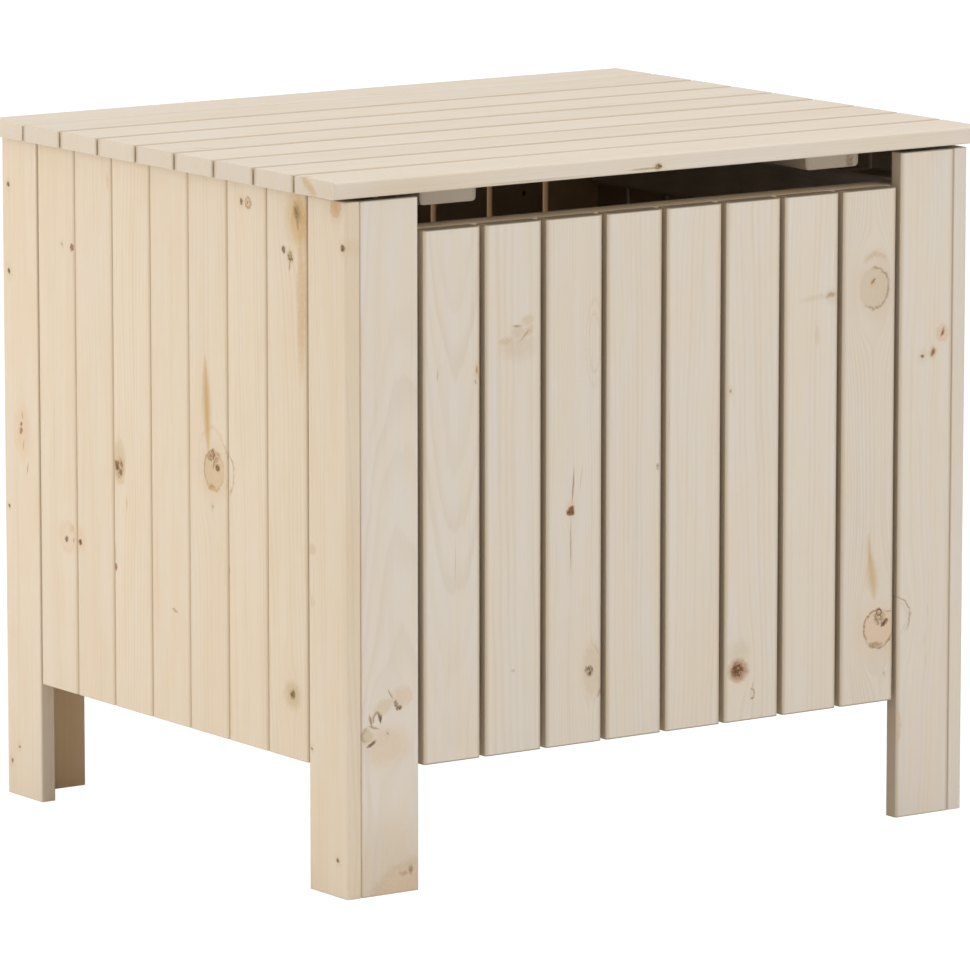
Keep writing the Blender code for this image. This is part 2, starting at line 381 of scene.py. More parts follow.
def clear_pine_group():
    """Clear pine: growth rings cut by the board, fibre and soft patches, in the board's own frame, with
    the sawn ends' darker end grain and painted shade on gap edges, inner faces and the front boards'
    tops.
    """
    inputs = {"Point": "vector", **sockets("Shift Seed PithX PithY LeanX LeanY Spacing Figure")}
    inputs |= sockets("HalfLength HalfWidth Gaps Ends InnerSide")
    inputs |= sockets("ToneA ToneB GapTint EndTint InnerTint", "color")
    t, given, out = new_group("clear pine", inputs, {"Color": "color", "Fibre": "float"})
    x, y, z = t.separate(given["Point"])
    grain_x = t.sub(x, given["Shift"])
    seed = given["Seed"]

    slow = t.drawn_out(x, seed, z, SLOW)
    fine = t.drawn_out(grain_x, seed, z, FINE)
    wander = t.add(t.mul(t.sub(slow, 0.5), SLOW_WANDER), t.mul(t.sub(fine, 0.5), FINE_WANDER))
    off_x = t.sub(t.sub(grain_x, given["PithX"]), t.mul(z, given["LeanX"]))
    off_y = t.sub(t.sub(y, given["PithY"]), t.mul(z, given["LeanY"]))
    depth = t.add(t.length(off_x, off_y), wander)

    phase = t.math("FRACT", t.div(depth, given["Spacing"]))
    late = t.mul(t.step(phase, *LATE_RISE), t.step(phase, *LATE_FALL))
    years = t.noise(t.combine(t.mul(depth, YEAR_WAVES), seed, 0.0), 1.0, 1.0)
    late = t.mul(late, t.step(years, *YEAR_RANGE))

    side_y = t.add(y, seed)
    hair = t.drawn_out(grain_x, t.mul(side_y, HAIR[0]), z, HAIR)
    broad = t.drawn_out(grain_x, t.mul(side_y, BROAD[0]), z, BROAD)
    patch = t.drawn_out(grain_x, seed, z, PATCH)

    half = given["HalfLength"]
    end_start, end_full = (t.sub(half, fade) for fade in END_FADE)
    end = t.step(t.math("ABSOLUTE", z), end_start, end_full)
    color = t.blend(t.step(patch, *PATCH_RANGE), given["ToneA"], given["ToneB"])
    darker = t.mul(t.mul(late, given["Figure"]), t.sub(1.0, t.mul(end, END_HIDES)))
    darker = t.add(darker, t.mul(t.step(hair, *HAIR_RANGE), HAIR_SHARE))
    darker = t.add(darker, t.mul(t.step(broad, *BROAD_RANGE), BROAD_SHARE))
    color = t.blend(darker, color, LATE)

    # Sawn ends: the end grain's own darker tone, and painted shade on the tops of the front boards and
    # legs.
    color = t.blend(t.mul(end, given["Ends"]), color, given["EndTint"])
    # Painted shade, and on the back a painted warm glow, along the long edges that face a gap.
    edge = t.step(t.math("ABSOLUTE", x), t.sub(given["HalfWidth"], GAP_FADE), given["HalfWidth"])
    color = t.blend(t.mul(edge, given["Gaps"]), color, given["GapTint"])
    # Painted shade on the faces that look into the box.
    inner = t.step(t.mul(y, given["InnerSide"]), *INNER_FADE)
    color = t.blend(t.mul(inner, INNER_SHARE), color, given["InnerTint"])
    t.feed(out["Color"], color)
    t.feed(out["Fibre"], hair)
    return t.tree


GROUPS = {
    "flow": flow_group(),
    "spot": spot_group(),
    "ring": ring_group(),
    "streak": streak_group(),
    "clear": clear_pine_group(),
}


# ---------------------------------------------------------------- marks in the wood
# Millimetres and degrees. x is across the board from its middle, towards +X or +Y. z is the height above
# the floor on an upright board, and the place along the board from the box's middle on a flat one.


THROUGH = 1000.0  # half size of a mark that goes right through the board
MARK_GAIN = 1.2  # how strongly all the marks show
JITTER = 5.0  # how far a mark's outline strays, mm
STREAK_JITTER = 1.2
JITTER_NOISE = (0.22, 3.0, 0.6)  # waves per millimetre, detail and roughness
MOTTLE_NOISE = (0.55, 2.0, 0.6)
LID_END = -300  # the lid's left end


def mark(kind, x, z, half_x, half_z, strength, tint, turn=0.0, **more):
    found = {"kind": kind, "x": x, "z": z, "half_x": half_x, "half_z": half_z, "strength": strength}
    return found | {"tint": tint, "turn": turn, "y": 0.0, "half_y": THROUGH} | more


def inside(y, half_y, marks):
    """The marks, kept within half_y of y through the board's thickness."""
    return [{**entry, "y": y, "half_y": half_y} for entry in marks]


def flow(x, z, radius):
    return [mark("flow", x, z, radius, radius, 0.0, LATE)]


def spot(x, z, half_x, half_z, strength, tint, soft=0.35, grit=0.0, turn=0.0):
    return [mark("spot", x, z, half_x, half_z, strength, tint, turn, Soft=soft, Grit=grit)]


def ring(x, z, half_x, half_z, strength, tint=RIM, line=0.8, arc=0.0, spread=180.0, turn=0.0):
    """arc is the direction that the drawn part faces, and spread how far it reaches to each side."""
    toward = {"ArcX": math.cos(math.radians(arc)), "ArcZ": math.sin(math.radians(arc))}
    opened = math.cos(math.radians(spread)) - (0.3 if spread >= 180 else 0.0)
    return [mark("ring", x, z, half_x, half_z, strength, tint, turn, Line=line, Open=opened, **toward)]


def streak(x, z, width, half_length, strength, tint=RESIN, turn=0.0):
    return [mark("streak", x, z, width, half_length, strength, tint, turn)]


def crack(x, z, half_length, strength=0.5, turn=0.0, width=0.35):
    return streak(x, z, width, half_length, strength, RIM, turn)


def end_band(start, stop, steps, half, strength, tint):
    """Soft spots on the lid's left end that merge into one band. A place is across and through it."""
    found = []
    for step in range(steps):
        x, y = (low + (high - low) * step / (steps - 1) for low, high in zip(start, stop))
        found += inside(y, half, spot(x, LID_END, half, 6, strength, tint, 0.8))
    return found


def pin(x, z, radius=1.3, strength=0.85):
    """A pin knot: a small dark dot in a faint halo."""
    halo = spot(x, z, radius * 2.6, radius * 3.4, 0.28, OCHRE, 0.6)
    return [*flow(x, z, radius * 1.4), *halo, *spot(x, z, radius, radius * 1.15, strength, UMBER, 0.4)]


def plug(x, z, half_x, half_z, fill=0.35, rim=0.6, tint=OCHRE):
    """A grown-in branch cut across: a slightly darker plug in a thin broken outline."""
    found = [*flow(x, z, half_x * 1.15), *spot(x, z, half_x * 1.45, half_z * 1.5, 0.22, tint, 0.5)]
    found += spot(x, z, half_x, half_z, fill, tint, 0.08)
    return [*found, *ring(x, z, half_x, half_z, rim)]


def red_knot(x, z, radius, core=0.75, halo=0.6):
    """A small live knot: a mottled red-brown core in a pinkish halo."""
    found = [*flow(x, z, radius * 1.5), *spot(x, z, radius * 1.5, radius * 1.6, halo, ROSE, 0.3)]
    found += spot(x, z, radius, radius, core * 0.55, RUST, 0.3)
    return [*found, *spot(x, z, radius * 0.9, radius * 0.9, core, UMBER, 0.3, 1.0)]


MARKS = {
    "front_leg_left": [
        *flow(-3, 130, 14),
        *spot(10.5, 147.5, 8, 7, 0.42, ROSE, 0.5),
        *spot(-6, 141.5, 9.5, 5, 0.42, OCHRE, 0.5, turn=20),
        *spot(-4, 112, 19, 14, 0.36, ROSE, 0.5),
        *ring(10.5, 147.5, 8, 7, 0.30, ROSE, 1.0, 0, 60),
        *spot(5, 143.2, 1.8, 2.6, 0.85, UMBER, 0.5, 0.4),
        *spot(7.8, 139.6, 2.4, 1.7, 0.95, UMBER, 0.5, 0.3, turn=20),
        *crack(0, 150.5, 5.5, 0.6, -150, 0.7),
        *streak(-17.5, 132, 1.1, 5.5, 0.85, RIM, 12),
        *ring(-12, 133.5, 3.2, 4.2, 0.7, RIM, 0.9, 90, 120),
        *spot(-9.6, 133.4, 1.1, 3.4, 0.8, UMBER, 0.6, turn=25),
        *crack(-15, 127, 6, 0.6, -110, 0.9),
        *spot(-20.5, 121.5, 4.5, 5, 0.50, OLIVE, 0.5),
        *ring(-20.5, 121.5, 4, 4.4, 0.45, RIM, 1.0, 180, 80),
        *spot(-17.2, 114.8, 3.8, 1.2, 0.9, UMBER, 0.5, turn=25),
        *pin(-2.5, 121, 0.9, 0.4),
        *spot(0, 12, 40, 42, 0.32, TAN, 0.6),
        *spot(12, 4, 27, 16, 0.42, ROSE, 0.3, turn=22),
        *ring(12, 4, 27, 16, 0.42, TAN, 3.4, 110, 95, turn=22),
        *spot(18, 16, 1.8, 3.4, 0.70, RIM, 0.6, 0.3),
        *spot(11.5, 14.5, 3.6, 1.8, 0.45, RIM, 0.6),
    ],
    "front_slat_1": [
        *spot(23, 384, 3.5, 7, 0.4, ROSE, 0.5),
        *crack(22.3, 385, 4, 0.75, 0, 0.7),
        *crack(21, 376, 2.5, 0.65, 20, 0.6),
        *streak(-13, 384, 0.7, 5, 0.35, RIM),
        *crack(3, 243, 20, 0.3),
    ],
    "front_slat_2": [
        *spot(4.5, 399, 14, 9, 0.38, TAN, 0.6),
        *spot(-7.5, 404, 5.5, 2.2, 0.60, TAN, 0.6, turn=5),
        *spot(3.5, 414.5, 3.4, 0.9, 0.55, UMBER, 0.5, turn=-5),
        *spot(4, 411, 5.5, 4.4, 0.45, TAN, 0.5),
        *spot(13, 418, 5.5, 4, 0.50, TAN, 0.5),
        *spot(13.7, 410, 4.8, 2.8, 0.55, TAN, 0.5, turn=25),
        *streak(10, 407, 0.8, 7, 0.45, RIM, -45),
        *spot(0, 156, 2, 1.4, 0.3, RIM, 0.6),
    ],
    "front_slat_3": [
        *flow(-3, 271, 5),
        *spot(-3, 273, 4.0, 6.5, 0.40, ROSE, 0.6),
        *spot(-3, 271, 3.4, 3.6, 0.85, RUST, 0.3),
        *spot(-3, 271, 2.4, 2.8, 0.90, UMBER, 0.5, 0.3, turn=-30),
        *crack(-3, 246, 24, 0.60, 0, 0.5),
        *crack(-1, 290, 16, 0.75, -4, 0.7),
        *crack(6.5, 296, 12, 0.35, -7),
        *flow(15, 147, 8),
        *spot(17, 148, 9, 21, 0.42, TAN, 0.4),
        *spot(14.4, 148.2, 3.4, 4.0, 0.90, UMBER, 0.4, 0.6),
        *crack(23.5, 131, 5, 0.7, -25, 0.8),
        *crack(21, 164, 6, 0.4, 25),
        *ring(18.5, 396, 5, 22, 0.28, TAN, 0.5),
        *ring(18.5, 396, 8, 32, 0.20, TAN, 0.5),
    ],
    "front_slat_4": [*spot(22, 297, 1.2, 2.4, 0.7, RIM, 0.5), *crack(23.5, 310, 9, 0.4)],
    "front_slat_5": [*crack(-23, 330, 14, 0.35)],
    "front_slat_6": [
        *spot(-12, 146, 9, 10, 0.30, OLIVE, 0.5),
        *spot(-12.5, 132.5, 9.8, 9.4, 0.50, TAN, 0.2),
        *spot(-12, 133, 8.6, 8.0, 0.45, RUST, 0.3, 0.2),
        *red_knot(-13, 133, 6.2, 1.0, 0.1),
        *spot(-16, 133, 3.0, 4.2, 0.80, UMBER, 0.5, 0.5),
        *ring(-13.5, 132.5, 8.6, 8.0, 0.6, OLIVE, 0.9, -125, 60),
        *spot(0.5, 113.5, 1.9, 3.6, 0.25, OLIVE, 0.2),
        *ring(0.5, 113.5, 1.9, 3.7, 0.85, RIM, 0.4, 0, 120),
        *crack(1.5, 120, 4, 0.4, -8),
        *pin(-21.5, 348, 1.1, 0.45),
    ],
    "front_slat_7": [
        *spot(18.5, 413.5, 4.2, 1.5, 0.65, RIM, 0.6, 0.2, turn=15),
        *spot(21, 413, 8, 6, 0.30, TAN, 0.6),
        *spot(4, 413, 13, 2.2, 0.30, TAN, 0.5, turn=4),
        *streak(5.5, 384, 2.0, 9, 0.35, TAN),
    ],
    "front_slat_8": [
        *plug(4.5, 415.5, 14, 15.5, 0.34, 0.0, TAN),
        *ring(4.5, 415.5, 14, 15.5, 0.60, RIM, 1.0, -12, 108),
        *spot(3.5, 421.5, 2.8, 1.3, 0.80, RIM, 0.5, 0.2, turn=42),
        *spot(3.5, 418.5, 4, 1.6, 0.60, ROSE, 0.5, turn=25),
        *ring(6, 427, 13, 14.5, 0.70, TAN, 2.2, 90, 48),
        *plug(11, 151.5, 14, 15, 0.36, 0.10, ROSE),
        *ring(11, 151, 14, 15, 0.80, RIM, 0.8, 150, 62),
        *ring(11, 151, 14, 15, 0.75, RIM, 0.9, -75, 52),
        *spot(9, 139, 5.5, 1.6, 0.65, RIM, 0.5, 0.2),
        *ring(12, 163.5, 2.6, 2.6, 0.85, UMBER, 0.8),
        *spot(11.5, 159, 5.5, 4.5, 0.70, RIM, 0.4, 0.9),
        *streak(9.5, 158, 0.9, 5.5, 0.75, RIM, 22),
        *streak(14, 157, 0.8, 5, 0.6, RIM, 12),
        *spot(17.4, 155, 4, 2.1, 0.85, UMBER, 0.4, 0.4, turn=28),
        *crack(21, 163.5, 4, 0.7, 85, 0.5),
        *streak(2, 212, 2.2, 16, 0.42, RESIN, 4),
        *streak(5, 192, 4.2, 20, 0.55, RESIN, 8),
        *pin(17, 115, 0.8, 0.4),
    ],
    "front_leg_right": [
        *flow(-26, 157, 12),
        *ring(-29, 157, 15.5, 17, 0.6, RIM, 0.8, 22, 55),
        *ring(-29, 157, 12.5, 14, 0.3, TAN, 0.8, 0, 60),
        *streak(4, 160, 0.8, 6, 0.30, TAN),
        *streak(1, 138, 0.8, 7, 0.28, TAN),
        *streak(3, 121, 0.8, 6, 0.26, TAN),
        *spot(15.7, 375.5, 5.8, 6.2, 0.48, ROSE, 0.4),
        *ring(15.7, 375.5, 5.0, 5.6, 0.25, ROSE, 1.0),
        *spot(16.2, 375.7, 1.4, 2.8, 0.85, RUST, 0.6, turn=-30),
        *spot(6.8, 361.5, 3.8, 4.6, 0.50, OLIVE, 0.5),
        *spot(6.8, 361.5, 1.7, 2.9, 0.85, RUST, 0.5, turn=-25),
        *pin(-2.8, 359, 1.6, 0.95),
        *spot(-25, 72, 4, 12, 0.6, TAN, 0.3),
    ],
    "left_front_leg": [
        *plug(-12.5, 512.5, 6.2, 6.4, 0.40, 0.2, RESIN),
        *spot(-12.5, 512.5, 3.6, 4.2, 0.6, RESIN, 0.6),
        *pin(-21.5, 484, 2.1),
        *spot(19.5, 256, 5, 3.8, 0.55, TAN, 0.4),
        *spot(20, 217, 3, 4, 0.4, TAN, 0.5),
        *pin(-13, 28, 1.5, 0.7),
        *pin(21, 106, 1.0, 0.7),
    ],
    "left_board_1": [
        *flow(-17, 503, 14),
        *spot(-18, 501, 18, 24, 0.60, OCHRE, 0.4),
        *spot(-17, 499, 9, 15, 0.75, RESIN, 0.4),
        *spot(-15, 493, 5, 8, 0.55, ROSE, 0.5),
        *spot(-15, 503, 4.0, 6.5, 0.80, RIM, 0.6, 0.2, turn=-20),
        *spot(-13.5, 504, 1.8, 4.0, 0.45, UMBER, 0.6, 0.3, turn=-20),
        *crack(-15.5, 495, 6, 0.7, -12, 1.2),
        *spot(-20, 440, 5, 52, 0.50, RESIN, 0.5),
        *ring(-21, 519, 19, 16, 0.55, RIM, 0.9, 150, 40),
        *spot(2.5, 475, 2.3, 3.0, 0.90, UMBER, 0.5),
        *spot(-6, 470, 5, 6, 0.5, OCHRE, 0.5),
        *spot(-6, 470, 3.2, 4.0, 1.0, UMBER, 0.4, 0.6, turn=-30),
        *crack(-5, 463, 4.5, 0.8, 10, 0.8),
        *flow(-5, 145, 7),
        *spot(-7, 142.5, 9.5, 9, 0.75, OLIVE, 0.6),
        *ring(-7, 142.5, 7.2, 6.8, 0.22, OCHRE, 1.2),
        *spot(-7, 143, 3.2, 3.0, 0.90, UMBER, 0.6, 0.2, turn=-15),
    ],
    "left_board_2": [
        *pin(6, 504, 1.6, 0.8),
        *plug(-3, 504, 3.4, 4, 0.35, 0.7),
        *pin(-3, 504, 1.0, 0.5),
        *spot(26, 224, 1.6, 3, 0.6, RIM, 0.5),
        *ring(33, 297, 15, 19, 0.50, RIM, 0.8, 180, 50),
    ],
    "left_board_3": [
        *plug(-8, 297, 13.2, 15, 0.34, 0.25, RESIN),
        *ring(-8, 297, 13.2, 15, 0.65, RIM, 0.7, 25, 50),
        *ring(-8, 297, 13.2, 15, 0.45, RESIN, 0.9, -90, 70),
        *ring(-10, 300, 18, 24, 0.40, RIM, 0.8, 170, 40),
        *ring(-6, 311, 16, 18, 0.25, RESIN, 1.5, 90, 70),
        *spot(-7.5, 307, 8, 3.6, 0.85, RIM, 0.4, 0.9),
        *ring(-6.5, 309, 2.2, 2.6, 0.8, RUST, 0.8),
        *spot(-13.4, 299.5, 2.8, 2.6, 0.90, UMBER, 0.4, 0.3),
        *streak(-8.5, 302, 1.1, 6, 0.75, RIM, 25),
        *spot(-5.2, 283.6, 4.6, 2.2, 0.75, RESIN, 0.5, 0.2),
        *spot(-5.5, 283.8, 2.2, 1.0, 0.55, RIM, 0.6),
        *streak(1.5, 345, 4.8, 40, 0.80, RESIN, -3),
        *pin(-6, 269, 1.3, 0.25),
    ],
    "left_board_4": [*spot(-6, 182, 3.5, 1.0, 0.55, RIM, 0.6), *streak(18, 200, 2.4, 60, 0.25, ROSE)],
    "left_board_5": [
        *flow(18, 280, 9),
        *spot(17.5, 288, 8, 13, 0.45, OLIVE, 0.5),
        *spot(18, 279, 8, 9.5, 0.70, OCHRE, 0.4),
        *spot(18.5, 281, 6.0, 7.0, 0.80, RIM, 0.4, 0.8),
        *spot(21, 282, 2.2, 3.0, 0.90, UMBER, 0.5, 0.3),
        *spot(15.5, 277.5, 2.0, 2.6, 0.85, UMBER, 0.5, 0.3),
        *spot(14.5, 284, 1.6, 2.2, 0.70, RUST, 0.5),
        *spot(15, 270, 4, 1.8, 0.5, ROSE, 0.5, 0.3),
        *streak(8, 255, 1.2, 6, 0.55, OLIVE),
        *spot(24.5, 203, 2.2, 2.6, 0.85, RUST, 0.4),
        *streak(24.5, 214, 1.2, 10, 0.5, RESIN),
        *spot(12, 84, 1.6, 1.6, 0.5, RIM, 0.5),
    ],
    "left_board_6": [
        *spot(21, 217, 6, 9, 0.35, ROSE, 0.6),
        *spot(21.2, 214.8, 2.4, 2.2, 0.95, UMBER, 0.5),
        *spot(-22, 499, 2.2, 6, 0.5, ROSE, 0.5),
    ],
    "left_board_7": [
        *flow(-15, 215, 9),
        *spot(-15, 217, 12, 12, 0.30, ROSE, 0.8),
        *ring(-14, 217, 10, 11, 0.10, RESIN, 2.4),
        *spot(-12, 214.6, 2.6, 2.0, 0.90, UMBER, 0.5),
        *spot(-20.5, 224, 3.2, 3.0, 0.35, RESIN, 0.6, 0.3),
        *spot(-22, 215, 1.6, 1.8, 0.45, RIM, 0.5),
        *spot(-23, 443, 2.2, 3.2, 0.85, RUST, 0.4),
        *pin(-8.7, 444, 0.9, 0.4),
    ],
    "left_rear_leg": [
        *flow(0, 292, 6),
        *spot(-2, 290, 11, 20, 0.42, ROSE, 0.5),
        *spot(0, 296, 1.9, 1.9, 0.75, RUST, 0.4, 0.2),
        *spot(0, 290.5, 2.0, 2.4, 0.80, RUST, 0.4),
        *crack(-1.5, 303, 4, 0.6, -10, 0.7),
        *crack(-3, 280, 5, 0.45, 12, 0.7),
        *crack(-9, 262, 6, 0.55, 15, 0.8),
        *pin(16, 482, 1.5),
        *pin(16, 414, 1.9),
        *pin(19, 229, 1.3),
        *pin(7, 39, 1.3, 0.7),
        *pin(18, 26, 1.3, 0.7),
    ],
    "lid_board_1": [
        *inside(-2.5, 3.0, spot(-25, -9, THROUGH, 4.5, 0.60, OCHRE, 0.5)),
        *inside(-2.5, 2.0, spot(-25, -9, THROUGH, 2.8, 0.95, UMBER, 0.4, 0.4)),
        *inside(-3.5, 0.8, spot(-25, -21, THROUGH, 13, 0.55, RIM, 0.5)),
        *inside(-4.7, 0.6, spot(-25, -124, THROUGH, 42, 0.30, RIM, 0.8)),
        *inside(-2.0, 6.0, spot(-25, -240, THROUGH, 55, 0.30, TAN, 0.8)),
        *end_band((-1.0, -5.0), (15.0, 6.5), 12, 3.2, 0.22, RESIN),
    ],
    "lid_board_5": [*streak(-15, -266, 0.8, 11, 0.6, RIM, 42)],
    "lid_board_6": [*streak(-22, 130, 0.7, 8, 0.45, RIM, 30)],
    "lid_board_7": [*streak(18, 134, 0.6, 7, 0.35, RIM, 20)],
    "lid_board_9": [*streak(-8, -95, 0.8, 9, 0.5, RIM, 30), *streak(-18, 34, 0.7, 8, 0.45, RIM, 40)],
    "lid_cleat_right": [*spot(17, -217, 3.4, 4, 0.6, RIM, 0.5, 0.5)],
}

# How a board was cut from the log, where it matters: pith across, pith behind, lean across, lean behind.
CUTS = {"front_slat_1": (3.0, 48.0, 0.0, -0.055), "front_leg_left": (8.0, 52.0, 0.0, 0.05)}
CLEAR = ("front_", "lid_", "left_front_leg", "left_rear_leg", "left_board")

# Boards with a long edge in full view, which doesn't get the tint of the edges that face a gap.
OPEN_EDGED = (
    "front_leg_left",
    "left_front_leg",
    "left_rear_leg",
    "right_front_leg",
    "right_rear_leg",
    "lid_board_1",
    "lid_board_9",
)


def own_marks(half_length, source):
    """A few knots at random, for a board that has no list of its own."""
    found = []
    for _ in range(source.choice((0, 1, 1, 2))):
        x = source.uniform(-19.0, 19.0)
        z = source.uniform(-0.85, 0.85) * half_length
        size = source.uniform(3.0, 13.0)
        if size < 6.5:
            found += red_knot(x, z, size, source.uniform(0.5, 0.9), source.uniform(0.3, 0.6))
            continue
        found += plug(x, z, size, size * source.uniform(1.0, 1.25), source.uniform(0.2, 0.4), 0.3)
        found += ring(x, z, size, size * 1.1, 0.65, RIM, 0.7, source.uniform(0, 360), 70)
        turn = source.uniform(0, 180)
        for _ in range(3):
            dx, dz = (source.uniform(-0.5, 0.5) * size for _ in range(2))
            found += spot(x + dx, z + dz, 0.28 * size, 0.13 * size, 0.8, UMBER, 0.4, 0.5, turn)
    for _ in range(source.choice((1, 2, 3))):
        x = source.uniform(-22.0, 22.0)
        found += pin(x, source.uniform(-0.9, 0.9) * half_length, source.uniform(0.8, 1.6))
    return found


def marks_of(name, half_length, middle, source):
    """A board's marks, with z from the board's own middle."""
    if name in MARKS:
        return [{**entry, "z": entry["z"] - middle} for entry in MARKS[name]]
    return [] if name.startswith(CLEAR) else own_marks(half_length, source)


# ---------------------------------------------------------------- materials


def principled(name):
    material = bpy.data.materials.new(name)
    material.use_nodes = True
    tree = Tree(material.node_tree)
    return material, tree, material.node_tree.nodes["Principled BSDF"]


def painted(t, color, entry, x, y, z, mottle):
    """The colour with one mark laid over it."""
    turn = math.radians(entry["turn"])
    inputs = {"Color": color, "X": x, "Y": y, "Z": z, "Cos": math.cos(turn), "Sin": math.sin(turn)}
    inputs |= {"AtX": entry["x"], "AtY": entry["y"], "AtZ": entry["z"]}
    inputs |= {"HalfX": entry["half_x"], "HalfY": entry["half_y"], "HalfZ": entry["half_z"]}
    inputs |= {"Strength": min(1.0, MARK_GAIN * entry["strength"]), "Tint": entry["tint"]}
    own = ("Soft", "Grit", "Line", "Open", "ArcX", "ArcZ")
    inputs |= {key: entry[key] for key in own if key in entry}
    if entry["kind"] != "streak":
        inputs["Mottle"] = mottle
    return t.group(GROUPS[entry["kind"]], inputs).outputs["Color"]


def shifted(t, x, z, marks):
    """How far all the knots together push the grain aside."""
    shift = 0.0
    for entry in marks:
        if entry["kind"] == "flow":
            inputs = {"X": x, "Z": z, "AtX": entry["x"], "AtZ": entry["z"], "Radius": entry["half_x"]}
            shift = t.add(shift, t.group(GROUPS["flow"], inputs).outputs["Shift"])
    return shift


def tints(name, wall):
    """The tints that a board's gap edges, inner face and sawn ends get: painted shade in the gaps,
    inside the box and under the lid, a painted warm glow in the back's gaps, and the ends' own darker
    end grain.
    """
    found = {"GapTint": GAP_TINTS["front"], "InnerSide": 0.0}
    if "rail" not in name:
        found["GapTint"] = GAP_TINTS.get(wall, GAP_TINTS["left"])
        found["InnerSide"] = INNER_SIDES.get(wall, 0.0)
    found |= {"Gaps": 0.0 if name in OPEN_EDGED else GAP_SHARE}
    found |= {"InnerTint": INNER_LEG_WARM_SHADE if name.startswith("back_leg") else INNER_SHADE}
    found |= {"Ends": END_SHARE, "EndTint": END_GRAIN}
    # Painted shade on the tops of the front boards and legs, under the lid.
    for start, share in SHADED_ENDS.items():
        if name.startswith(start):
            found |= {"Ends": share, "EndTint": SLAT_END_SHADE}
    return found


def marked(t, color, point, marks):
    """The colour with all of a board's marks laid over it, their outlines made uneven."""
    x, y, z = t.separate(point)
    jitter_x, _, jitter_z = t.separate(t.noise(point, *JITTER_NOISE, "Color"))
    mottle = t.noise(point, *MOTTLE_NOISE)
    near = {}
    for kinds, reach in ((("spot", "ring"), JITTER), (("streak",), STREAK_JITTER)):
        near_x = t.math("MULTIPLY_ADD", jitter_x, reach, t.sub(x, reach / 2))
        near_z = t.math("MULTIPLY_ADD", jitter_z, reach, t.sub(z, reach / 2))
        near |= dict.fromkeys(kinds, (near_x, near_z))
    for entry in marks:
        near_x, near_z = near[entry["kind"]]
        color = painted(t, color, entry, near_x, y, near_z, mottle)
    return color


def pine(name, slot, half_width, half_length, middle):
    """Knotty pine for one board. middle is where the board's middle lies on the marks' z axis, mm."""
    source = random.Random("pine " + name)
    material, t, shader = principled("pine_" + name)
    place = t.node("ShaderNodeTexCoord").outputs["Object"]
    point = t.node("ShaderNodeVectorMath", {0: place, "Scale": 1 / MM}, operation="SCALE").outputs[0]
    x, y, z = t.separate(point)

    marks = marks_of(name, half_length, middle, source)
    side = source.choice((-1, 1))
    pith_x, pith_y = side * source.uniform(*PITH_ACROSS), source.uniform(*PITH_BEHIND)
    lean_x = source.uniform(-LEAN_ACROSS, LEAN_ACROSS)
    lean_y = source.uniform(-LEAN_BEHIND, LEAN_BEHIND)
    pith_x, pith_y, lean_x, lean_y = CUTS.get(name, (pith_x, pith_y, lean_x, lean_y))
    wall = name.split("_")[0]
    tones = TONES[{"back": "pine_side", "right": "pine_front"}.get(wall, slot)]
    brightness = source.uniform(1 - BRIGHTNESS_SPREAD, 1 + BRIGHTNESS_SPREAD)
    inputs = {"Point": point, "Shift": shifted(t, x, z, marks), "Seed": source.uniform(0, 900)}
    inputs |= {"HalfLength": half_length, "HalfWidth": half_width, **tints(name, wall)}
    inputs |= {"PithX": pith_x, "PithY": pith_y, "LeanX": lean_x, "LeanY": lean_y}
    inputs |= {"Spacing": source.uniform(*RING_SPACING)}
    inputs |= {"Figure": FIGURE * source.uniform(*FIGURE_SPREAD)}
    inputs |= {key: tuple(c * brightness for c in tone) for key, tone in zip(("ToneA", "ToneB"), tones)}
    clear = t.group(GROUPS["clear"], inputs)
    color, fibre = clear.outputs["Color"], clear.outputs["Fibre"]
    drawn = [entry for entry in marks if entry["kind"] != "flow"]
    if drawn:
        color = marked(t, color, point, drawn)

    t.feed(shader.inputs["Base Color"], color)
    t.feed(shader.inputs["Roughness"], t.math("MULTIPLY_ADD", fibre, *WOOD_ROUGHNESS))
    planed = t.drawn_out(x, t.mul(y, PLANED[0]), z, PLANED)
    strength, depth = PLANED_BUMP
    bump = t.node("ShaderNodeBump", {"Height": planed, "Strength": strength, "Distance": depth})
    t.feed(shader.inputs["Normal"], bump.outputs["Normal"])
    shader.inputs["Specular IOR Level"].default_value = SPECULAR
    return material


def steel(name):
    """Zinc-plated steel with a fine brushed grain and a few duller patches."""
    material, t, shader = principled(name)
    place = t.node("ShaderNodeTexCoord").outputs["Object"]
    x, y, z = t.separate(place)
    along, across = BRUSHED
    brushed = t.noise(t.combine(t.mul(x, along), t.mul(y, across), t.mul(z, across)), 1.0, 3.0)
    patches = t.noise(place, DULL_PATCHES, 3.0)
    t.feed(shader.inputs["Base Color"], t.blend(patches, *STEEL_TONES))
    shader.inputs["Metallic"].default_value = 1.0
    t.feed(shader.inputs["Roughness"], t.math("MULTIPLY_ADD", brushed, *STEEL_ROUGHNESS))
    strength, depth = STEEL_BUMP
    bump = t.node("ShaderNodeBump", {"Height": brushed, "Strength": strength, "Distance": depth})
    t.feed(shader.inputs["Normal"], bump.outputs["Normal"])
    return material


# ---------------------------------------------------------------- pieces


def link(thing):
    bpy.context.scene.collection.objects.link(thing)
    return thing


def board_frame(low, high):
    """The board's own axes and size: X across its width, Y through it, Z along the grain."""
    size = high - low
    grain, wide = sorted(range(3), key=lambda axis: (-size[axis], axis))[:2]
    thin = 3 - grain - wide
    along = Vector([float(axis == grain) for axis in range(3)])
    across = Vector([float(axis == wide) for axis in range(3)])
    through = along.cross(across)
    turned = Matrix((across, through, along)).transposed().to_4x4()
    return turned, Vector((size[wide], size[thin], size[grain])), grain


def bevelled(body, edges, width):
    """Rounds these edges of the bmesh."""
    made = {"segments": EASING_SEGMENTS, "profile": 0.5, "affect": "EDGES", "clamp_overlap": True}
    bmesh.ops.bevel(body, geom=edges, offset=width, **made)


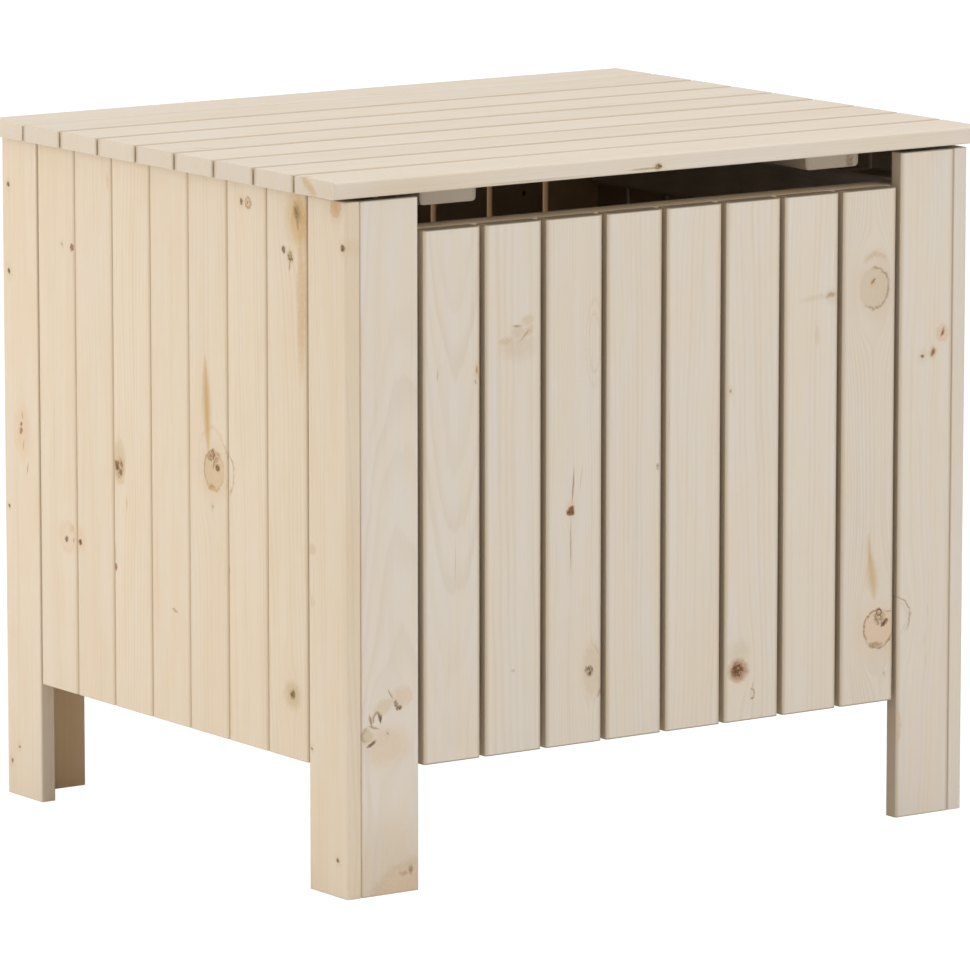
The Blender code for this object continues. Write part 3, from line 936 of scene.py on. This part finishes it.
def board_mesh(name, size, source, easing, shallow):
    """A board rounded along its length and crisp at its sawn ends, with a slight bow."""
    body = bmesh.new()
    bmesh.ops.create_cube(body, size=1.0, matrix=Matrix.Diagonal((*size, 1.0)))
    easing = (easing + source.uniform(-EASING_SPREAD, EASING_SPREAD)) * MM
    lengths = {edge: abs(edge.verts[0].co.z - edge.verts[1].co.z) for edge in body.edges}
    bevelled(body, [edge for edge, length in lengths.items() if length > size.z / 2], easing)
    for vertex in body.verts:
        depth = size.y / 2 - abs(vertex.co.y)
        vertex.co.y += math.copysign((1 - shallow) * depth, vertex.co.y)
    end = size.z / 2 - END_EASING * MM / 2
    rims = [edge for edge in body.edges if all(abs(vertex.co.z) > end for vertex in edge.verts)]
    bevelled(body, rims, END_EASING * MM)
    half = size.z / 2 - 2 * END_EASING * MM
    for station in range(BOARD_STATIONS + 1):
        z = -half + 2 * half * station / BOARD_STATIONS
        geometry = body.verts[:] + body.edges[:] + body.faces[:]
        bmesh.ops.bisect_plane(body, geom=geometry, plane_co=(0, 0, z), plane_no=(0, 0, 1))
    phase = source.uniform(0, math.tau)
    bow = source.uniform(-BOW, BOW) * MM
    for vertex in body.verts:
        height = vertex.co.z / size.z
        vertex.co.x += BOW_ACROSS * bow * math.sin(math.tau * height + phase)
        if size.y < THIN_BOARD:
            vertex.co.y += BOW_THROUGH * bow * math.cos(math.pi * height)
    for face in body.faces:
        face.smooth = True
    mesh = bpy.data.meshes.new(name)
    body.to_mesh(mesh)
    body.free()
    return mesh


def board(node, body, slot):
    low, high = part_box(node)
    turned, size, grain = board_frame(low, high)
    middle = (low + high) / 2
    if "board" in node:
        size.x += 2 * FULLER.get(node.split("_")[0], 0.0) * MM
    if node.startswith("front_leg"):
        size.x += 2 * LEG_FULLER * MM
    if node in DROPPED:
        size.z -= LEG_DROP * MM
        middle.z -= LEG_DROP * MM / 2
    source = random.Random("board " + node)
    name = "pine_" + node
    easing, shallow = EASING[slot], SHALLOW
    if "cleat" in node or node in OPEN_EDGED:
        easing, shallow = (CLEAT_EASING if "cleat" in node else LEG_EASING), 1.0
    piece = link(bpy.data.objects.new(name, board_mesh(name, size, source, easing, shallow)))
    piece.matrix_world = Matrix.Translation(middle) @ turned
    half_width, half_length = size.x / MM / 2, size.z / MM / 2
    piece.data.materials.append(pine(node, slot, half_width, half_length, middle[grain] / MM))
    normals = piece.modifiers.new("even shading", "WEIGHTED_NORMAL")
    normals.keep_sharp = True
    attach(piece, body)
    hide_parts(node)


def boards():
    """Every wooden node of the frame, as a detailed board."""
    record = frame["record"]
    slots = {entry["node"]: entry["material_slot"] for entry in record["subparts"]}
    for body, nodes in record["behaviour"]["bodies"].items():
        for node in nodes:
            if slots[node] in TONES:
                board(node, body, slots[node])


def hinge_finish():
    metal = steel("zinc_plated_steel")
    for name, node in frame["nodes"].items():
        if name.startswith("hinge_"):
            node.data.materials.clear()
            node.data.materials.append(metal)
            easing = node.modifiers.new("eased edges", "BEVEL")
            easing.width = LEAF_EASING * MM
            easing.segments = 2


def joined(body, low, high):
    """A band of faces between two loops with as many points."""
    for step in range(len(low)):
        after = (step + 1) % len(low)
        body.faces.new((low[step], low[after], high[after], high[step]))


def cross_head(body, place, facing, radius, height, slot):
    """Adds a screw's head with a cross-shaped recess slot wide. A slot of 0 makes a plain nail head."""
    turned = Matrix.Translation(place) @ Vector(facing).to_track_quat("Z", "Y").to_matrix().to_4x4()
    angles = [math.tau * step / HEAD_SIDES for step in range(HEAD_SIDES)]
    loops = []
    for reach, z in HEAD_PROFILE:
        wide = reach * radius
        points = [Vector((wide * math.cos(a), wide * math.sin(a), z * height)) for a in angles]
        loops.append([body.verts.new(turned @ point) for point in points])
    for low, high in zip(loops, loops[1:]):
        joined(body, low, high)
    if slot == 0:
        body.faces.new(loops[-1])
        return
    near, far = slot / 2, CROSS_REACH * radius
    quarter = [Vector(point) for point in ((far, -near), (far, near), (near, near))]
    outline = [Matrix.Rotation(turn * math.pi / 2, 2) @ point for turn in range(4) for point in quarter]
    rim = [body.verts.new(turned @ Vector((*point, height))) for point in outline]
    sunk = [body.verts.new(turned @ Vector((*point, CROSS_FLOOR * height))) for point in outline]
    top = loops[-1]
    edges = [body.edges.get(pair) or body.edges.new(pair) for pair in zip(top, top[1:] + top[:1])]
    edges += [body.edges.new(pair) for pair in zip(rim, rim[1:] + rim[:1])]
    bmesh.ops.triangle_fill(body, use_beauty=True, edges=edges)
    joined(body, rim, sunk)
    body.faces.new(sunk)


def fasteners(name, body_name, places, facing, head, metal):
    """One piece that holds a row of screw or nail heads."""
    body = bmesh.new()
    for place in places:
        cross_head(body, place, facing, *(measure * MM for measure in head))
    bmesh.ops.recalc_face_normals(body, faces=body.faces[:])
    mesh = bpy.data.meshes.new(name)
    body.to_mesh(mesh)
    body.free()
    mesh.materials.append(metal)
    piece = link(bpy.data.objects.new(name, mesh))
    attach(piece, body_name)


def centres(prefix, axis):
    """Where the boards whose names start so lie along an axis."""
    row = [node for node in frame["nodes"] if node.startswith(prefix)]
    return [sum(corner[axis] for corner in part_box(node)) / 2 for node in row]


def hinge_screws(side, metal):
    low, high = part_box(f"hinge_{side}_wall_leaf")
    inset = LEAF_INSET * (high.x - low.x)
    across = [low.x + inset, high.x - inset]
    plate = low.y + LEAF * MM
    wall = [Vector((x, plate, low.z + WALL_SCREW_RISE * MM)) for x in across]
    fasteners(f"hinge_{side}_wall_screws", "box", wall, (0, 1, 0), HINGE_SCREW, metal)
    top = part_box(f"hinge_{side}_lid_leaf")[1].z
    lid = [Vector((x, plate, top - LID_SCREW_DROP * MM)) for x in across]
    fasteners(f"hinge_{side}_lid_screws", "lid", lid, (0, 1, 0), HINGE_SCREW, metal)


def cleat_screws(side, metal):
    """One screw up into each lid board, to the left and right of the cleat's middle by turns."""
    low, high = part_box(f"lid_cleat_{side}")
    margin = CLEAT_MARGIN * MM
    row = [y for y in centres("lid_board", 1) if low.y + margin < y < high.y - margin]
    middle = (low.x + high.x) / 2
    under = [Vector((middle + (-1) ** k * CLEAT_STAGGER * MM, y, low.z)) for k, y in enumerate(row)]
    fasteners(f"lid_cleat_{side}_screws", "lid", under, (0, 0, -1), CLEAT_SCREW, metal)


def rail_nails(wall, axis, facing, metal):
    """One nail through the rail into each board of its wall, higher and lower by turns."""
    low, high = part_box(f"{wall}_top_rail")
    heads = []
    for number, place in enumerate(centres(f"{wall}_{'slat' if axis == 0 else 'board'}", axis)):
        at = (low + high) / 2
        at[axis] = place
        at[1 - axis] = (high if sum(facing) > 0 else low)[1 - axis]
        at.z += (-1) ** number * NAIL_STAGGER * MM
        if low[axis] < place < high[axis]:
            heads.append(at)
    fasteners(f"{wall}_rail_nails", "box", heads, facing, NAIL, metal)


def all_fasteners():
    """Screws in the hinges and up through the cleats, and nails through each rail into its wall."""
    metal = steel("galvanised_steel")
    for side in ("left", "right"):
        hinge_screws(side, metal)
        cleat_screws(side, metal)
    rail_nails("front", 0, (0, 1, 0), metal)
    rail_nails("back", 0, (0, -1, 0), metal)
    rail_nails("left", 1, (1, 0, 0), metal)
    rail_nails("right", 1, (-1, 0, 0), metal)


# ---------------------------------------------------------------- stage, light and camera


def stage():
    """A pale paper floor, nearly white to the camera, with faint shadows."""
    body = bmesh.new()
    bmesh.ops.create_circle(body, cap_ends=True, segments=FLOOR_SIDES, radius=FLOOR_RADIUS)
    mesh = bpy.data.meshes.new("studio_floor")
    body.to_mesh(mesh)
    body.free()
    floor = link(bpy.data.objects.new("studio_floor", mesh))
    material = bpy.data.materials.new("studio_floor")
    material.use_nodes = True
    t = Tree(material.node_tree)
    t.tree.nodes.clear()
    grain = t.noise(t.node("ShaderNodeTexCoord").outputs["Object"], 3.0, 2.0)
    paper = t.node("ShaderNodeBsdfDiffuse", {"Color": t.blend(grain, *FLOOR_TONES)}).outputs[0]
    white = t.node("ShaderNodeEmission", {"Color": WHITE, "Strength": WHITE_FLOOR}).outputs[0]
    seen = t.mul(t.node("ShaderNodeLightPath").outputs["Is Camera Ray"], WHITE_SHARE)
    surface = t.node("ShaderNodeMixShader", {0: seen, 1: paper, 2: white}).outputs[0]
    t.node("ShaderNodeOutputMaterial", {"Surface": surface})
    mesh.materials.append(material)


def softbox(name, place, size, power):
    """A round area light, turned to the object."""
    lamp = bpy.data.lights.new(name, "AREA")
    lamp.shape = "DISK"
    lamp.size = size
    lamp.energy = power
    thing = link(bpy.data.objects.new(name, lamp))
    thing.location = place
    thing.rotation_euler = (LIT_POINT - place).to_track_quat("-Z", "Y").to_euler()


def lights():
    """A soft glow from all round, brighter above and to the left, and three large distant softboxes."""
    world = bpy.data.worlds.new("studio")
    bpy.context.scene.world = world
    world.use_nodes = True
    t = Tree(world.node_tree)
    t.tree.nodes.clear()
    right, _, up = t.separate(t.node("ShaderNodeTexCoord").outputs["Generated"])
    glow = t.math("MULTIPLY_ADD", t.math("MAXIMUM", up, 0.0), GLOW_UP, GLOW)
    glow = t.sub(glow, t.mul(right, GLOW_LEFT))
    sky = t.node("ShaderNodeBackground", {"Color": WHITE, "Strength": glow}).outputs[0]
    white = t.node("ShaderNodeBackground", {"Color": WHITE, "Strength": WHITE_SKY}).outputs[0]
    seen = t.node("ShaderNodeLightPath").outputs["Is Camera Ray"]
    surface = t.node("ShaderNodeMixShader", {0: seen, 1: sky, 2: white}).outputs[0]
    t.node("ShaderNodeOutputWorld", {"Surface": surface})
    for name, (place, size, power) in SOFTBOXES.items():
        softbox(name, Vector(place), size, power)


def camera():
    data = bpy.data.cameras.new("camera")
    data.sensor_width = SENSOR
    data.lens = CAMERA_LENS
    thing = link(bpy.data.objects.new("camera", data))
    thing.location = CAMERA_AT
    thing.rotation_euler = (math.radians(90 + CAMERA_PITCH), 0.0, math.radians(-CAMERA_YAW))
    bpy.context.scene.camera = thing


boards()
hinge_finish()
all_fasteners()
stage()
lights()
camera()
bpy.context.scene.view_settings.view_transform = "Standard"
